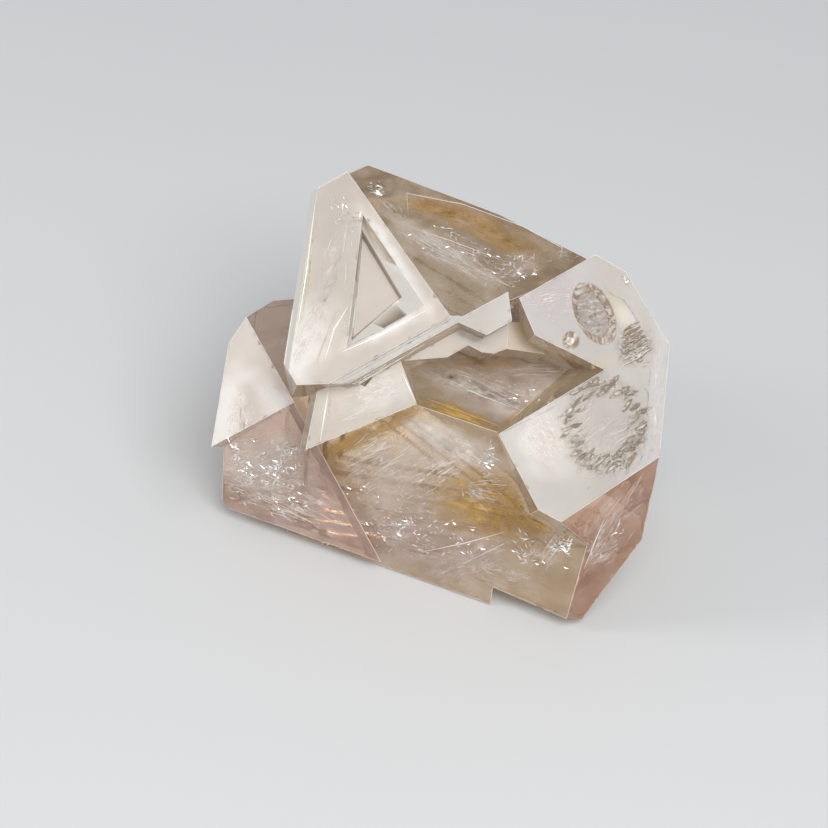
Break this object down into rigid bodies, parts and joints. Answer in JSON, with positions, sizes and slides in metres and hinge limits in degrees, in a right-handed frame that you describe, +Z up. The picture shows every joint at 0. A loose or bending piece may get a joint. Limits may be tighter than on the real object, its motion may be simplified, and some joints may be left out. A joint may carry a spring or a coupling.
{
  "type": "window quartz crystal cluster",
  "caption": "Clear, faintly smoky quartz cluster with stepped, hollowed window faces, raised and smaller crystals grown on it, and a flat facet to lie on.",
  "frame": {"origin": "bottom centre of the bounding box, on the facet the cluster lies on", "axes": "+Z up, square to the flat top facets; +X to the right along the edge between a window face and its top facet; -Y towards the viewer, the side the pale windows and the broad front facet face"},
  "size_m": [0.041, 0.037, 0.0356],
  "materials": {
    "quartz": "clear, faintly smoky, glossy facets with etched, frosted windows",
    "iron_stain": "ochre iron-oxide film inside the crystal and along its edges",
    "veil": "white veil of fluid inclusions and small healed cracks",
    "sparkle": "bright flakes where inner cracks catch the light"
  },
  "bodies": {
    "root": {"quartz_cluster": "quartz"}
  },
  "joints": []
}
